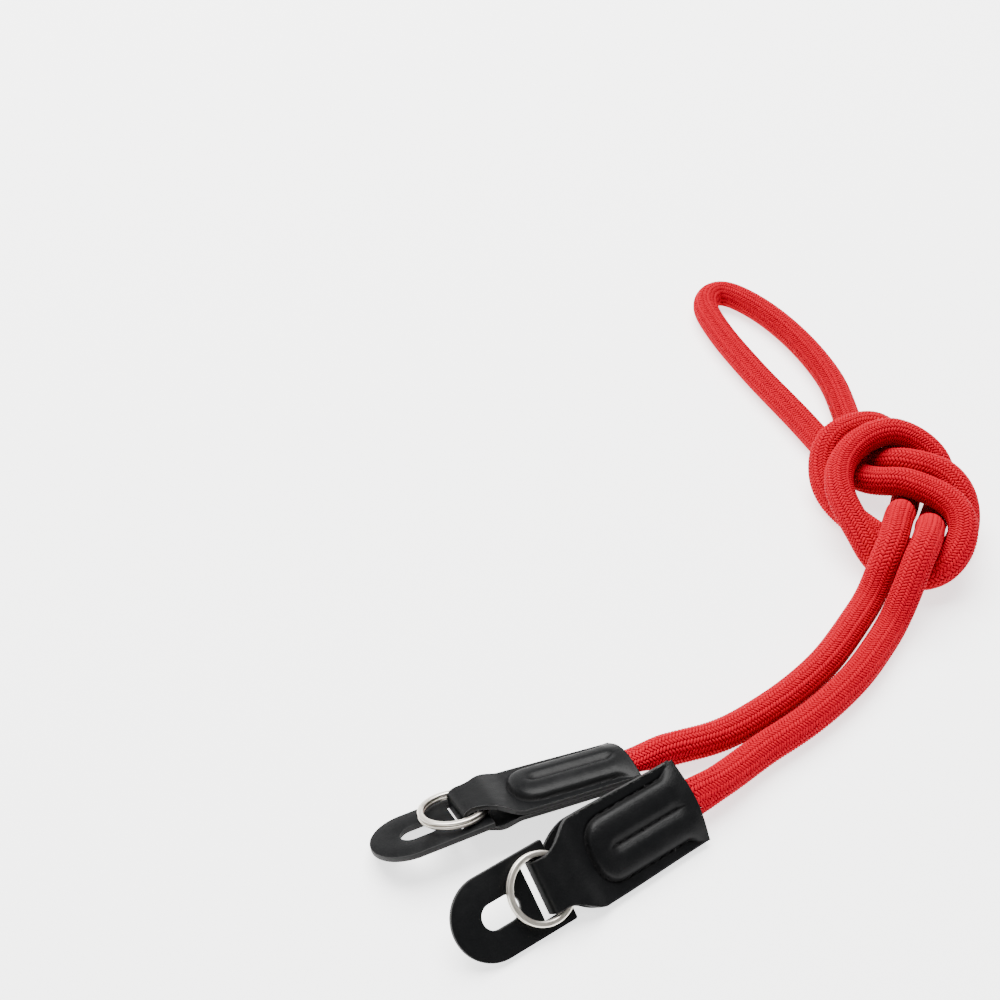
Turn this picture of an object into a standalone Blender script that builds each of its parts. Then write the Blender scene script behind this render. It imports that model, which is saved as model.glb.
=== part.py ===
"""Camera neck strap: a round braided cord between two leather ends, each with a split ring and a protector.

The cord is folded double and tied in an overhand knot, which leaves a loop beyond the knot and the two
leather ends on the other side. It lies on a flat surface, z = 0. Units are metres, +Z up. The origin is on that
surface, under the middle of the two leather ends. A leather end's own frame has +X along the end, from its cut
edge to the protector's tip, +Y across it and +Z up through its layers, with the cord's line at the origin.
"""

import math

import bmesh
import bpy
import numpy as np
from mathutils import Matrix, Vector

MM = 0.001

# the cord
CORD_DIAMETER = 9.0 * MM
CORD_GAP = 0.45 * MM  # left between passes of the cord, and between it and the surface
CORD_SIDES_RESOLUTION = 3
MOUTH_PRESS = 0.72  # the cord's thickness in a cover's mouth, as a share of its own
TAPER = 12.0 * MM  # the stretch before a mouth in which the cord narrows
LINE_STEP = 2.25 * MM
MOST_TURN = math.radians(17)
MOST_STRETCH = 22.0 * MM

# the leather cover
LEATHER = 1.2 * MM
FIT = 0.3 * MM  # clearance between pieces that touch
COVER_WIDTH = 23.2 * MM
MOUTH_WIDTH = 22.0 * MM
NECK_WIDTH = 13.2 * MM
BUMP_WIDTH = 16.6 * MM
BUMP_HEIGHT = 2.5 * MM  # of the hollow under the bump's lobes, over the cord's line
BUMP_NOSE = 7.0 * MM  # how far back the bump's rounded end begins
GROOVE_START = 3.9 * MM
GROOVE_TO_NOSE = 5.5 * MM
GROOVE_DEPTH = 1.0 * MM
GROOVE_WIDTH = 3.4 * MM
BELLY = 0.8  # the height of the underside's bulge, behind the mouth, as a share of the upper side's
FLARE_LENGTH = 10.8 * MM
BOND = 0.8 * MM  # where the layers lie flat on each other, between the bump and the fold
FOLD_RISE = 6.0 * MM
FOLD_ABOVE = 2.1 * MM  # from the middle of the fold to its upper layer
FOLD_BELOW = 2.4 * MM
NOSE_ABOVE = 4.0 * MM  # how far back the upper layer begins to bend to the crease
NOSE_BELOW = 2.4 * MM
SQUARENESS_ABOVE = 3.0  # a round bend has 2
SQUARENESS_BELOW = 4.0
CREASE = 45.2 * MM  # the fold's inner end

# the protector
PROTECTOR_LENGTH = 29.8 * MM
PROTECTOR_WIDTH = 20.8 * MM
PROTECTOR_THICKNESS = 1.5 * MM
BAR_WIDTH = 3.9 * MM  # between the straight end and the slit
SLIT_WIDTH = 3.9 * MM
SLIT_MARGIN = 0.6 * MM  # from the neck's edge to the slit's end
SLOT_LENGTH = 10.4 * MM
SLOT_WIDTH = 6.4 * MM
SLOT_TO_TIP = 7.75 * MM

# the split ring
RING_DIAMETER = 18.0 * MM
WIRE_WIDTH = 1.5 * MM
WIRE_HEIGHT = 0.92 * MM
COIL_GAP = 0.1 * MM
RING_ROOM = 5.0 * MM  # from the place where the layers part to the ring
RING_START = math.radians(170)  # the wire's ends and its jog lie in the fold
JOG = math.radians(30)

# How each leather end lies: the middle of its cut edge, its heading, tilt and roll, its protector's droop and
# shift to the side, and how far the protector's bar lies inside the crease and the ring's middle beyond it.
ENDS = {
    "front": {
        "x": 37.4 * MM, "y": 10.3 * MM, "z": 8.1 * MM, "heading": -144.6, "tilt": 1.0, "roll": -40.0,
        "droop": 1.5, "shift": 0.3 * MM, "bar": 0.75 * MM, "ring": 1.15 * MM,
    },
    "rear": {
        "x": 22.25 * MM, "y": 23.3 * MM, "z": 6.5 * MM, "heading": -159.3, "tilt": 1.6, "roll": 25.9,
        "droop": 6.0, "shift": 0.0, "bar": 2.0 * MM, "ring": 1.7 * MM,
    },
}

# along the cover, from its crease back
FOLD_START = CREASE + min(end["ring"] for end in ENDS.values()) - RING_DIAMETER / 2 - RING_ROOM
BUMP_LENGTH = FOLD_START - BOND
GROOVE_END = BUMP_LENGTH - GROOVE_TO_NOSE

# the cord's route in millimetres, from the rear leather end to the front one, chosen by hand
ROUTE = (
    (35, 28.5, 6), (48, 34, 4.5), (64, 44.5, 4.5), (78.5, 58, 4.5), (89, 73, 4.5), (96.5, 85, 5.5),
    (102, 94.5, 13), (106, 103, 14), (110, 114, 9.5), (114, 126, 4.5), (118, 140, 4.5), (114.5, 150.5, 8.5),
    (105, 151.5, 13.5), (93, 145, 13), (90, 134, 7), (96, 119.5, 4.5), (107.5, 106.5, 4.5), (118, 101, 4.5),
    (126.5, 107.5, 4.5), (129, 117, 9), (124, 128.5, 14), (114, 133.5, 13.5), (107, 144, 6),
    (103.5, 160, 4.5), (100.5, 187, 4.5), (90.5, 213.5, 4.5), (78, 231.5, 4.5), (68, 238, 4.5),
    (63, 231, 4.5), (65.5, 216.5, 4.5), (75, 192, 4.5), (87, 166.5, 4.5), (97.5, 143, 4.5), (104, 131.5, 9),
    (113, 123.5, 13.5), (123, 114.5, 15), (124.5, 101, 13.5), (116, 91, 8.5), (105, 95, 6),
    (96, 107.5, 10.5), (92, 122, 13.5), (95.5, 134.5, 15), (105, 142.5, 17), (117.5, 143.5, 15),
    (126, 135.5, 8), (124.5, 124, 4.5), (119, 114, 6), (115, 102.5, 13.5), (110, 91, 17), (105.5, 82, 11),
    (100.5, 74, 5), (89, 57.5, 4.5), (73.5, 41, 4.5), (58, 28.5, 4.5), (46.5, 18, 6),
)


def clear_scene():
    for thing in list(bpy.data.objects):
        bpy.data.objects.remove(thing, do_unlink=True)


def material(name, colour, roughness, metallic):
    made = bpy.data.materials.new(name)
    made.use_nodes = True
    shader = made.node_tree.nodes["Principled BSDF"]
    shader.inputs["Base Color"].default_value = (*colour, 1.0)
    shader.inputs["Roughness"].default_value = roughness
    shader.inputs["Metallic"].default_value = metallic
    made.diffuse_color = (*colour, 1.0)
    return made


def smoothstep(value):
    value = min(max(value, 0.0), 1.0)
    return value * value * (3.0 - 2.0 * value)


def resampled(line, step):
    """The same line with its points a step apart."""
    along = np.r_[0.0, np.cumsum(np.linalg.norm(np.diff(line, axis=0), axis=1))]
    places = np.linspace(0.0, along[-1], int(round(along[-1] / step)) + 1)
    return np.stack([np.interp(places, along, line[:, axis]) for axis in range(3)], axis=1)


def smooth_line(points, step):
    """A smooth curve through the points, as a line with its points a step apart."""
    ends_added = np.vstack([2 * points[0] - points[1], points, 2 * points[-1] - points[-2]])
    found = []
    for a, b, c, d in zip(ends_added[:-3], ends_added[1:-2], ends_added[2:-1], ends_added[3:]):
        t1 = math.sqrt(np.linalg.norm(b - a))
        t2 = t1 + math.sqrt(np.linalg.norm(c - b))
        t3 = t2 + math.sqrt(np.linalg.norm(d - c))
        for t in np.linspace(t1, t2, 12, endpoint=False):
            ab = a + (b - a) * t / t1
            bc = b + (c - b) * (t - t1) / (t2 - t1)
            cd = c + (d - c) * (t - t2) / (t3 - t2)
            abc = ab + (bc - ab) * t / t2
            bcd = bc + (cd - bc) * (t - t1) / (t3 - t1)
            found.append(abc + (bcd - abc) * (t - t1) / (t2 - t1))
    return resampled(np.array(found + [points[-1]]), step)


def settled(line, diameter, gap, rounds=220):
    """The line with its passes eased apart until none lies nearer another than a diameter and the gap."""
    step = np.linalg.norm(np.diff(line, axis=0), axis=1).mean()
    first, second = np.triu_indices(len(line), k=math.ceil(1.45 * diameter / step))
    floor = diameter / 2
    now = line.copy()
    for _ in range(rounds):
        rounder = (4 * (now[1:-3] + now[3:-1]) - (now[:-4] + now[4:])) / 6
        now[2:-2] += 0.4 * (rounder - now[2:-2])
        now += 0.03 * (line - now) * np.array([1.0, 1.0, 0.3])
        for _ in range(3):
            apart = now[second] - now[first]
            distance = np.linalg.norm(apart, axis=1)
            near = distance < diameter + gap
            push = apart[near] * ((diameter + gap - distance[near]) / distance[near] * 0.4)[:, None]
            moved = np.zeros_like(now)
            count = np.zeros(len(now))
            np.add.at(moved, first[near], -push)
            np.add.at(moved, second[near], push)
            np.add.at(count, first[near], 1)
            np.add.at(count, second[near], 1)
            now += moved / np.maximum(count, 1)[:, None]
            now[:, 2] = np.maximum(now[:, 2], floor)
            now[:3] = line[:3]
            now[-3:] = line[-3:]
    return resampled(now, step)


def thinned(line, most_turn, most_stretch, always):
    """Fewer places on the line: the next comes where it has turned, or run, far enough, or is always kept."""
    heading = np.diff(line, axis=0)
    heading /= np.linalg.norm(heading, axis=1)[:, None]
    step = np.linalg.norm(line[1] - line[0])
    kept = [0]
    turn = 0.0
    for index in range(1, len(line) - 1):
        turn += math.acos(min(1.0, float(heading[index] @ heading[index - 1])))
        stretch = (index - kept[-1] + 1) * step
        if turn > most_turn or stretch > most_stretch or index in always:
            kept.append(index)
            turn = 0.0
    return [*kept, len(line) - 1]


def end_matrix(end):
    """Where a leather end's own frame lies."""
    heading = Matrix.Rotation(math.radians(end["heading"]), 4, "Z")
    tilt = Matrix.Rotation(math.radians(-end["tilt"]), 4, "Y")
    roll = Matrix.Rotation(math.radians(end["roll"]), 4, "X")
    return Matrix.Translation((end["x"], end["y"], end["z"])) @ heading @ tilt @ roll


def cord_end(end, outward):
    """The cord's points in a cover, from its mouth to its inner end or back, and its thickness as a share."""
    squeezed = 2 * (BUMP_HEIGHT - GROOVE_DEPTH - FIT) / CORD_DIAMETER
    start = GROOVE_START
    found = []
    for x in (0.0, 0.4 * start, 1.5 * start, GROOVE_END):
        share = MOUTH_PRESS if x < start else squeezed
        found.append((np.array(end_matrix(end) @ Vector((x, 0, 0))), share))
    return found[::-1] if outward else found


def make_cord(colour):
    rear = cord_end(ENDS["rear"], True)
    front = cord_end(ENDS["front"], False)
    points = np.array([rear[-1][0], *(np.array(point) * MM for point in ROUTE), front[0][0]])
    line = settled(smooth_line(points, LINE_STEP), CORD_DIAMETER, CORD_GAP)
    last = len(line) - 1
    tapered = round(TAPER / LINE_STEP)
    always = (tapered // 2, tapered, last - tapered, last - tapered // 2)
    path = rear[:-1]
    for index in thinned(line, MOST_TURN, MOST_STRETCH, always):
        share = MOUTH_PRESS + (1.0 - MOUTH_PRESS) * smoothstep(min(index, last - index) / tapered)
        path.append((line[index], share))
    path += front[1:]
    curve = bpy.data.curves.new("cord", "CURVE")
    curve.dimensions = "3D"
    curve.bevel_depth = CORD_DIAMETER / 2
    curve.bevel_resolution = CORD_SIDES_RESOLUTION
    curve.use_fill_caps = True
    spline = curve.splines.new("POLY")
    spline.points.add(len(path) - 1)
    for spot, (place, share) in zip(spline.points, path):
        spot.co = (*place, 1.0)
        spot.radius = share
    spline.use_smooth = True
    cord = bpy.data.objects.new("cord", curve)
    curve.materials.append(colour)
    bpy.context.scene.collection.objects.link(cord)


def new_object(name, shape, colour=None, helper=False):
    """Makes an object of a bmesh, with its faces turned outward."""
    bmesh.ops.recalc_face_normals(shape, faces=shape.faces)
    mesh = bpy.data.meshes.new(name)
    shape.to_mesh(mesh)
    shape.free()
    made = bpy.data.objects.new(name, mesh)
    bpy.context.scene.collection.objects.link(made)
    if colour:
        mesh.materials.append(colour)
    if helper:
        made.hide_render = True
        made.display_type = "WIRE"
    else:
        mesh.shade_smooth()
        mesh.set_sharp_from_angle(angle=math.radians(35))
    return made


def cut(target, cutter):
    modifier = target.modifiers.new(cutter.name, "BOOLEAN")
    modifier.operation = "DIFFERENCE"
    modifier.object = cutter
    cutter.parent = target


def ring_height():
    return 2 * WIRE_HEIGHT + COIL_GAP


def bar_level():
    """The protector's bar lies in the lower half of the fold, and the ring above it."""
    return -FOLD_BELOW + 1.3 * FIT + PROTECTOR_THICKNESS / 2


def ring_level():
    return bar_level() + PROTECTOR_THICKNESS / 2 + FIT + ring_height() / 2


def nose_start(side):
    """Where a layer of the fold begins to bend to the crease: the upper one (side 1) or the lower (side -1)."""
    return CREASE - (NOSE_ABOVE if side > 0 else NOSE_BELOW)


def nose(x, side, wall):
    """From the middle of the fold to a layer's inside, or to its outside if its wall is added."""
    height = (FOLD_ABOVE if side > 0 else FOLD_BELOW) + wall
    squareness = SQUARENESS_ABOVE if side > 0 else SQUARENESS_BELOW
    ahead = min(1.0, max(0.0, x - nose_start(side)) / (CREASE + wall - nose_start(side)))
    return height * (1.0 - ahead**squareness) ** (1.0 / squareness)


def nose_rows(wall):
    start = nose_start(1)
    shares = (0.0, 0.25, 0.45, 0.62, 0.75, 0.85, 0.92, 0.97, 1.0)
    return [start + (CREASE + wall - start) * share for share in shares]


def cover_half_width(x):
    body = MOUTH_WIDTH + (COVER_WIDTH - MOUTH_WIDTH) * smoothstep(x / BUMP_LENGTH)
    return (body + (NECK_WIDTH - body) * smoothstep((x - FOLD_START) / FLARE_LENGTH)) / 2


def fold_opening(x, side):
    """From the middle to a layer's inside, beyond the bump."""
    return nose(x, side, 0.0) * smoothstep((x - FOLD_START) / FOLD_RISE)


def bump_share(x, y, half_width, end):
    """The bump's height as a share of its crown: a tent over the cord at the mouth, two full lobes behind."""
    ahead = max(0.0, x - end + BUMP_NOSE) / BUMP_NOSE
    out = ((abs(y) / half_width) ** 2.5 + ahead**2.5) ** 0.4
    if out >= 1.0:
        return 0.0
    fullness = smoothstep(x / (1.5 * GROOVE_START))
    return (1.0 - out ** (2.0 + 1.2 * fullness)) ** (1.0 / (1.25 + 0.75 * fullness))


def groove(x, y):
    """The depth of the middle seam's groove."""
    run = 2.0 * MM
    along = smoothstep((x - GROOVE_START + run) / (2 * run)) * smoothstep((GROOVE_END + run - x) / (2 * run))
    return GROOVE_DEPTH * along * math.exp(-((2 * y / GROOVE_WIDTH) ** 2))


def crown(x):
    """The hollow's height over the cord's line: it holds the round cord at the mouth, and is lower behind."""
    at_mouth = MOUTH_PRESS * CORD_DIAMETER / 2 + FIT
    behind = min(1.0, max(0.0, (x / GROOVE_START - 0.4) / 1.1))
    return at_mouth + (BUMP_HEIGHT - at_mouth) * behind


def bulge(x, y, share, side):
    """The height of the bump above the middle of the cover (side 1), or its depth below it (side -1)."""
    if side > 0:
        return max(0.0, crown(x) * share - groove(x, y) * min(1.0, 2 * share))
    return crown(x) * share * (1.0 - (1.0 - BELLY) * smoothstep(x / (1.5 * GROOVE_START)))


def cover_surface(x, y, side):
    """From the middle of the cover to its outside."""
    if x > nose_start(side):
        return nose(x, side, LEATHER)
    return LEATHER + bulge(x, y, bump_share(x, y, BUMP_WIDTH / 2, BUMP_LENGTH), side) + fold_opening(x, side)


def pocket_surface(x, y, side):
    """From the middle of the cover to the inside of its pocket."""
    x = max(x, 0.0)
    return bulge(x, y, bump_share(x, y, BUMP_WIDTH / 2 - LEATHER, BUMP_LENGTH - LEATHER), side)


def between(start, end, count):
    """As many places as the count, evenly from the start up to but not at the end."""
    return [start + (end - start) * index / count for index in range(count)]


def cover_rows():
    rows = [0.0, 0.4 * GROOVE_START, GROOVE_START] + between(1.5 * GROOVE_START, BUMP_LENGTH - BUMP_NOSE, 4)
    rows += between(BUMP_LENGTH - BUMP_NOSE, BUMP_LENGTH, 5) + between(BUMP_LENGTH, nose_start(1), 7)
    return rows + nose_rows(LEATHER)


def make_skin(rows, columns_at, surface, closed_start):
    """A closed shape between an upper and a lower surface, made in rows: both meet in the last row."""
    shape = bmesh.new()
    above = []
    below = []
    for x in rows:
        above.append([shape.verts.new((x, y, surface(x, y, 1))) for y in columns_at(x)])
        below.append([shape.verts.new((x, y, -surface(x, y, -1))) for y in columns_at(x)])
    for side in (above, below):
        for row, after in zip(side[:-1], side[1:]):
            for index in range(len(row) - 1):
                shape.faces.new((row[index], row[index + 1], after[index + 1], after[index]))
    for edge in (0, -1):
        for index in range(len(rows) - 1):
            corners = (above[index][edge], above[index + 1][edge], below[index + 1][edge], below[index][edge])
            shape.faces.new(corners)
    if closed_start:
        for index in range(len(above[0]) - 1):
            corners = (above[0][index], above[0][index + 1], below[0][index + 1], below[0][index])
            shape.faces.new(corners)
    bmesh.ops.remove_doubles(shape, verts=shape.verts, dist=0.01 * MM)
    return shape


def cover_columns(x):
    shares = (0.11, 0.27, 0.46, 0.66, 0.84, 0.95, 1.03)
    inner = min(BUMP_WIDTH / 2, 0.78 * cover_half_width(x))
    half = [share * inner for share in shares] + [cover_half_width(x)]
    return [-y for y in reversed(half)] + [0.0] + half


def pocket_columns(x):
    start = BUMP_LENGTH - LEATHER - BUMP_NOSE
    ahead = min(1.0, max(0.0, x - start) / BUMP_NOSE)
    half_width = (BUMP_WIDTH / 2 - LEATHER) * (1.0 - ahead**2.5) ** 0.4
    shares = (0.13, 0.32, 0.54, 0.78, 0.93, 1.0)
    half = [share * half_width for share in shares]
    return [-y for y in reversed(half)] + [0.0] + half


def pocket_rows():
    start = BUMP_LENGTH - LEATHER - BUMP_NOSE
    rows = [-1.0 * MM, 0.0, 0.4 * GROOVE_START, GROOVE_START, 1.5 * GROOVE_START]
    rows += between(1.5 * GROOVE_START, start, 4)[1:]
    return rows + between(start, start + BUMP_NOSE, 5) + [start + BUMP_NOSE]


def make_cover(name, colour, frame):
    cover = new_object(name, make_skin(cover_rows(), cover_columns, cover_surface, True), colour)
    pocket = make_skin(pocket_rows(), pocket_columns, pocket_surface, True)
    cut(cover, new_object(name + "_pocket", pocket, helper=True))
    cut(cover, new_object(name + "_fold", fold_space(), helper=True))
    cover.parent = frame


def fold_space():
    """The gap between the layers round the bar and the ring, right across the neck."""
    rows = between(FOLD_START, FOLD_START + FOLD_RISE, 6) + between(FOLD_START + FOLD_RISE, nose_start(1), 1)
    rows += nose_rows(0.0)
    reach = COVER_WIDTH
    return make_skin(rows, lambda x: [-reach, reach], lambda x, y, side: fold_opening(x, side), False)


def stadium(length, width, turns=10):
    """An outline with two round ends, its middle at the origin and its length along X."""
    radius = width / 2
    offset = length / 2 - radius
    angles = [math.pi * index / turns - math.pi / 2 for index in range(turns + 1)]
    right = [(offset + radius * math.cos(angle), radius * math.sin(angle)) for angle in angles]
    return right + [(-x, -y) for x, y in right]


def plate(outline, thickness):
    """A flat plate of the outline, its middle plane at z = 0."""
    shape = bmesh.new()
    face = shape.faces.new([shape.verts.new((x, y, -thickness / 2)) for x, y in outline])
    grown = bmesh.ops.extrude_face_region(shape, geom=[face])
    lifted = [part for part in grown["geom"] if isinstance(part, bmesh.types.BMVert)]
    bmesh.ops.translate(shape, verts=lifted, vec=(0, 0, thickness))
    return shape


def make_protector(name, colour, frame, end):
    half = PROTECTOR_WIDTH / 2
    centre = PROTECTOR_LENGTH - half
    angles = [math.pi * index / 20 - math.pi / 2 for index in range(21)]
    outline = [(0.0, -half), (0.0, half)]
    outline[1:1] = [(centre + half * math.cos(angle), half * math.sin(angle)) for angle in angles]
    protector = new_object(name, plate(outline, PROTECTOR_THICKNESS), colour)
    through = 4 * PROTECTOR_THICKNESS
    slit_length = NECK_WIDTH + 2 * SLIT_MARGIN
    corners = [(x, y) for x, y in ((0, -1), (1, -1), (1, 1), (0, 1))]
    slit = [(BAR_WIDTH + x * SLIT_WIDTH, y * slit_length / 2) for x, y in corners]
    cut(protector, new_object(name + "_slit", plate(slit, through), helper=True))
    middle = PROTECTOR_LENGTH - SLOT_TO_TIP - SLOT_LENGTH / 2
    slot = [(middle + x, y) for x, y in stadium(SLOT_LENGTH, SLOT_WIDTH)]
    cut(protector, new_object(name + "_slot", plate(slot, through), helper=True))
    protector.parent = frame
    bar = Matrix.Translation((CREASE - end["bar"] - BAR_WIDTH / 2, end["shift"], bar_level()))
    droop = Matrix.Rotation(math.radians(end["droop"]), 4, "Y")
    protector.matrix_local = bar @ droop @ Matrix.Translation((-BAR_WIDTH / 2, 0, 0))


def make_ring(name, colour, frame, end):
    """Two turns of flat wire side by side: it runs round, jogs over by one wire and runs round again."""
    shape = bmesh.new()
    radius = (RING_DIAMETER - WIRE_WIDTH) / 2
    pitch = WIRE_HEIGHT + COIL_GAP
    steps = 36
    chamfer = 0.3
    section = ((-0.5, -chamfer), (-chamfer, -0.5), (chamfer, -0.5), (0.5, -chamfer))
    section = section + tuple((-a, -b) for a, b in section)
    total = 4 * math.pi - math.radians(8)
    loops = []
    for index in range(2 * steps + 1):
        angle = total * index / (2 * steps)
        rise = smoothstep((angle - 2 * math.pi + JOG / 2) / JOG) - 0.5
        loop = []
        for across, up in section:
            reach = radius + across * WIRE_WIDTH
            x = reach * math.cos(RING_START + angle)
            y = reach * math.sin(RING_START + angle)
            loop.append(shape.verts.new((x, y, rise * pitch + up * WIRE_HEIGHT)))
        loops.append(loop)
    for loop, after in zip(loops[:-1], loops[1:]):
        for index in range(len(section)):
            following = (index + 1) % len(section)
            shape.faces.new((loop[index], loop[following], after[following], after[index]))
    shape.faces.new(loops[0])
    shape.faces.new(loops[-1])
    ring = new_object(name, shape, colour)
    ring.parent = frame
    ring.location = (CREASE + end["ring"], 0, ring_level())


def make_leather_end(name, end, leather, steel):
    frame = bpy.data.objects.new(name + "_end", None)
    bpy.context.scene.collection.objects.link(frame)
    frame.matrix_world = end_matrix(end)
    make_cover(name + "_cover", leather, frame)
    make_ring(name + "_ring", steel, frame, end)
    make_protector(name + "_protector", leather, frame, end)


def main():
    clear_scene()
    red = material("braided_cord", (0.80, 0.006, 0.012), 0.6, 0.0)
    leather = material("leather", (0.012, 0.013, 0.014), 0.45, 0.0)
    steel = material("nickelled_steel", (0.62, 0.58, 0.52), 0.22, 1.0)
    make_cord(red)
    for name, end in ENDS.items():
        make_leather_end(name, end, leather, steel)


main()
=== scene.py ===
"""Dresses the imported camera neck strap: the cord's braid, the leather ends, their stitches and rings, and the
studio that they lie in.

Units are metres and +Z is up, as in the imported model. The strap lies on the floor, z = 0. A leather end's own
frame has +X along the end, from the cover's mouth to the protector's tip, +Y across it and +Z up through its
layers.
"""

import math

import bmesh
import bpy
import numpy as np
from bpy.props import FloatProperty, FloatVectorProperty, IntProperty, PointerProperty
from mathutils import Matrix, Vector


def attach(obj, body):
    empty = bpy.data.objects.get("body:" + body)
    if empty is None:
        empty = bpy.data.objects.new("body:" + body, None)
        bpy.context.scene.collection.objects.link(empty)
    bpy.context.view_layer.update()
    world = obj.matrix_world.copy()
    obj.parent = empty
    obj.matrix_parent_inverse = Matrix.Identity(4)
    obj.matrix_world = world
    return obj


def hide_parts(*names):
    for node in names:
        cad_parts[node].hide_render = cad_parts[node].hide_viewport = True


bl_info = {
    "name": "Camera Neck Strap",
    "version": (1, 0, 0),
    "blender": (4, 5, 0),
    "location": "View3D > Sidebar > Neck Strap",
    "description": "Braided cord neck strap with leather ends and split rings",
    "category": "Add Mesh",
}

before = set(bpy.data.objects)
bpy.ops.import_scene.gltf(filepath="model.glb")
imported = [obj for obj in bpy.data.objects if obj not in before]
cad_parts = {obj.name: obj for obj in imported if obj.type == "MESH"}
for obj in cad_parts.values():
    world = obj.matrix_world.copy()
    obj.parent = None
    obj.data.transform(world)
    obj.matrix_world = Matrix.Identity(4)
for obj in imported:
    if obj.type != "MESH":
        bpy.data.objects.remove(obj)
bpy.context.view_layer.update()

MM = 0.001

# the cord
CORD_DIAMETER = 9.0 * MM
CORD_GAP = 0.45 * MM  # between two passes of the cord
MOUTH_PRESS = 0.56  # its thickness in a cover's mouth, as a share of its own: flatter than in the part
MOUTH_WIDEN = 0.27  # how much wider it grows, as a share of what it loses in thickness
TAPER = 12.0 * MM  # the stretch before a mouth in which it narrows
LINE_STEP = 2.25 * MM  # from point to point while the passes are eased apart
FINE_STEP = 0.5 * MM  # from point to point of the finished line
SMOOTH_STEPS = 12  # points of a smooth curve to one that it goes through
INSIDE_POINTS = 12  # points that the line goes through inside a cover
CORE_STRIDE = 3  # points of the finished line to one of the core

# how the passes are eased apart
SAME_PASS = 1.45  # points nearer than this along the line, in diameters, aren't held apart
ROUNDS = 220
PUSHES = 3  # in a round
ROUNDING = 0.4  # the share of the way to a rounder line
PULL_BACK = 0.03  # the share of the way back to the route
PULL_BACK_UP = 0.3  # the share of that in height
PUSH = 0.4  # the share of what two passes lack

# the braid
BRAID_HIDDEN = 4.0 * MM  # how far it runs on into each cover
BRAID_PIECES = 4
STRAND_OVERLAP = 0.35 * MM  # how far a strand's ends reach past its column
STRAND_WANDER = 0.03 * MM  # how far a strand strays from its place

# the leather cover
FIT = 0.3 * MM  # between the leather and what it holds
MOUTH_WIDTH = 22.0 * MM
NECK_WIDTH = 13.2 * MM
BUMP_WIDTH = 16.6 * MM
BUMP_HEIGHT = 2.5 * MM
BUMP_NOSE = 7.0 * MM  # the bump's rounded far end
BUMP_SQUARENESS = 2.5
MOUTH_SPREAD = 6.2 * MM  # how much wider the bump is at the mouth
GROOVE_START = 3.9 * MM
GROOVE_TO_NOSE = 5.5 * MM
GROOVE_DEPTH = 1.0 * MM
GROOVE_WIDTH = 3.4 * MM
SEAM_RUN_OUT = 2.0 * MM  # how far before and past its ends the groove dies away
SEAM_SLIT_DEPTH = 0.5 * MM
SEAM_SLIT_WIDTH = 0.36 * MM
PRESSED_LINE = 0.42 * MM  # the depth and half the width of the line pressed in round the bump
PRESSED_START = 2.5 * MM  # from the mouth
PRESSED_RUN_IN = 4.0 * MM  # the stretch in which it deepens
BELLY = 0.8  # the lower bump's height behind the mouth, as a share of the upper one's
FLARE_LENGTH = 10.8 * MM  # the stretch in which the cover narrows to its neck
BOND = 0.8 * MM  # the stretch between bump and fold where the layers lie together
FOLD_RISE = 6.0 * MM  # the stretch in which the layers part
FOLD_SOFT = 1.5 * MM  # how much earlier the upper layer starts to rise than in the part
FOLD_ABOVE = 2.1 * MM  # from the middle to the upper layer's inside
FOLD_BELOW = 2.4 * MM
NOSE_ABOVE = 4.0 * MM  # how far before the crease the upper layer begins to bend
NOSE_BELOW = 2.4 * MM
SQUARENESS_ABOVE = 3.0
SQUARENESS_BELOW = 4.0
CREASE = 45.2 * MM  # from the mouth to its inside
CREASE_SHARE = 0.12  # the rows that go round the crease, as a share of a layer's
COVER_ROWS = 250
COVER_COLUMNS = 84
COLUMN_CROWDING = 1.2  # how much closer the columns stand at the sides
HAIR = 0.04 * MM  # how far each layer stays from the middle
CUT_EDGE = 0.15 * MM  # how near to an edge a face belongs to it
COVER_ROUNDING = 0.18 * MM

# where the middle seam begins to pinch the cord, where the bump has its full lobes, and where its spread ends
PINCH_START = 0.4 * GROOVE_START
LOBES_START = 1.5 * GROOVE_START
SPREAD_END = 1.6 * GROOVE_START

# the powers that shape the bump across: a tent over the cord at the mouth, full lobes behind
TENT = (2.0, 1.3)
LOBES = (3.2, 0.5)

# the stitches
SIDE_SEAM = 8.45 * MM  # from the middle
SEAM_SPARE = 1.0 * MM  # taken off the groove's length before its stitches are counted
FIRST_STITCH = 0.9 * MM  # from the groove's start
STITCH_SHARE = 0.86  # a stitch's length, as a share of the distance from one to the next
STITCH_SINK = 0.06 * MM
STITCH_LEAN = math.radians(4)
CROSS_STITCHES = (  # how far along, how far to the side, and length
    (16.2 * MM, 0.0, 2.0 * MM),
    (10.1 * MM, -8.3 * MM, 1.9 * MM),
    (10.1 * MM, 8.3 * MM, 1.9 * MM),
)
CROSS_RISE = 0.22 * MM
CROSS_THICKNESS = 1.25
CROSS_LEAN = math.radians(80)

# the protector
PROTECTOR_LENGTH = 29.8 * MM
PROTECTOR_WIDTH = 20.8 * MM
PROTECTOR_THICKNESS = 1.5 * MM
PROTECTOR_CORNER = 0.5 * MM
PROTECTOR_ROUNDING = 0.22 * MM
BAR_WIDTH = 3.9 * MM
BAR_ROOM = 1.3 * FIT  # between the bar and the lower layer
SLIT_WIDTH = 3.9 * MM
SLIT_MARGIN = 0.6 * MM  # on each side of the neck
SLOT_LENGTH = 10.4 * MM
SLOT_WIDTH = 6.4 * MM
SLOT_TO_TIP = 7.75 * MM

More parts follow.
